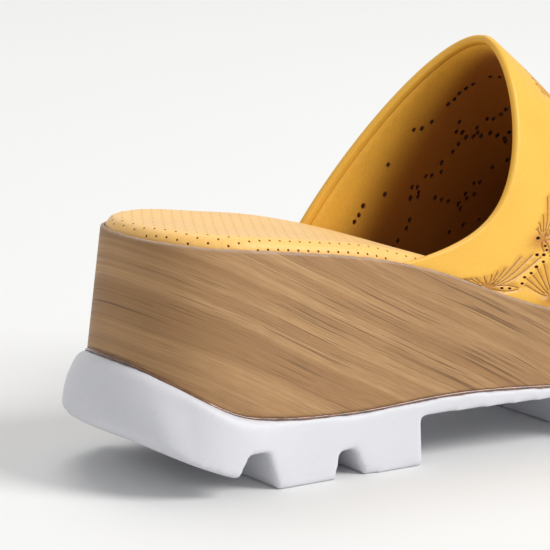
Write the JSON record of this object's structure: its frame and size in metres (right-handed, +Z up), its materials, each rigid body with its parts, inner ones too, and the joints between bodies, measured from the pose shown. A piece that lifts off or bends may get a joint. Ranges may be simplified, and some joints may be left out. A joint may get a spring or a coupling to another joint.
{
  "type": "wooden clog",
  "caption": "Slip-on wedge clog with a closed toe: engraved leather upper on a cushioned footbed, a wood-look wedge and a lugged moulded outsole.",
  "frame": {"origin": "middle of the footprint's bounding box, on the floor", "axes": "+X from heel to toe, +Y towards the big-toe side (this is a right shoe), +Z up"},
  "size_m": [0.2662, 0.0902, 0.1232],
  "materials": {
    "leather": "smooth mustard leather, engraved",
    "lining": "smooth mustard lining leather",
    "footbed": "soft micro-perforated leather cover",
    "wood_wrap": "matt wood-look wrap with streaked grain",
    "outsole": "white moulded outsole",
    "core": "light foam core",
    "foam": "comfort foam",
    "board": "fibre board",
    "stiffener": "woven interlining and stiffener"
  },
  "bodies": {
    "root": {"outsole": "outsole", "wedge_core": "core", "wedge_wrap": "wood_wrap", "bottom_filler": "foam", "insole_board": "board", "footbed_foam": "foam", "footbed_cover": "footbed", "upper_leather": "leather", "upper_lining": "lining", "toe_puff": "stiffener", "vamp_interlining": "stiffener", "topline_tape": "stiffener"}
  },
  "joints": []
}
